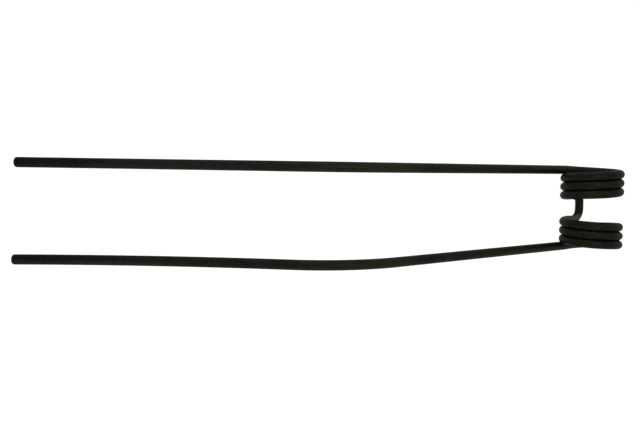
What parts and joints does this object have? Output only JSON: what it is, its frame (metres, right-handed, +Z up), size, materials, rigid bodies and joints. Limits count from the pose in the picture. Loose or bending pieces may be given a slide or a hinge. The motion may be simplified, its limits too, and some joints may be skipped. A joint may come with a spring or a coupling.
{
  "type": "rake spring tine",
  "caption": "Double spring tine of black round wire for a hay rake: long kneed tines side by side, each from a coil, joined by a short bridge that is clamped to the machine.",
  "frame": {"origin": "on the floor that the tine lies on, below the middle of its bounding box", "axes": "+X along the floor from the tips to the coils, +Y along the coils' common axis, +Z up, with both tines arched upwards"},
  "size_m": [0.6454, 0.1004, 0.1223],
  "materials": {
    "black_wire": "black paint, satin, on round spring steel wire"
  },
  "bodies": {
    "root": {"spring_tine": "black_wire"}
  },
  "joints": []
}
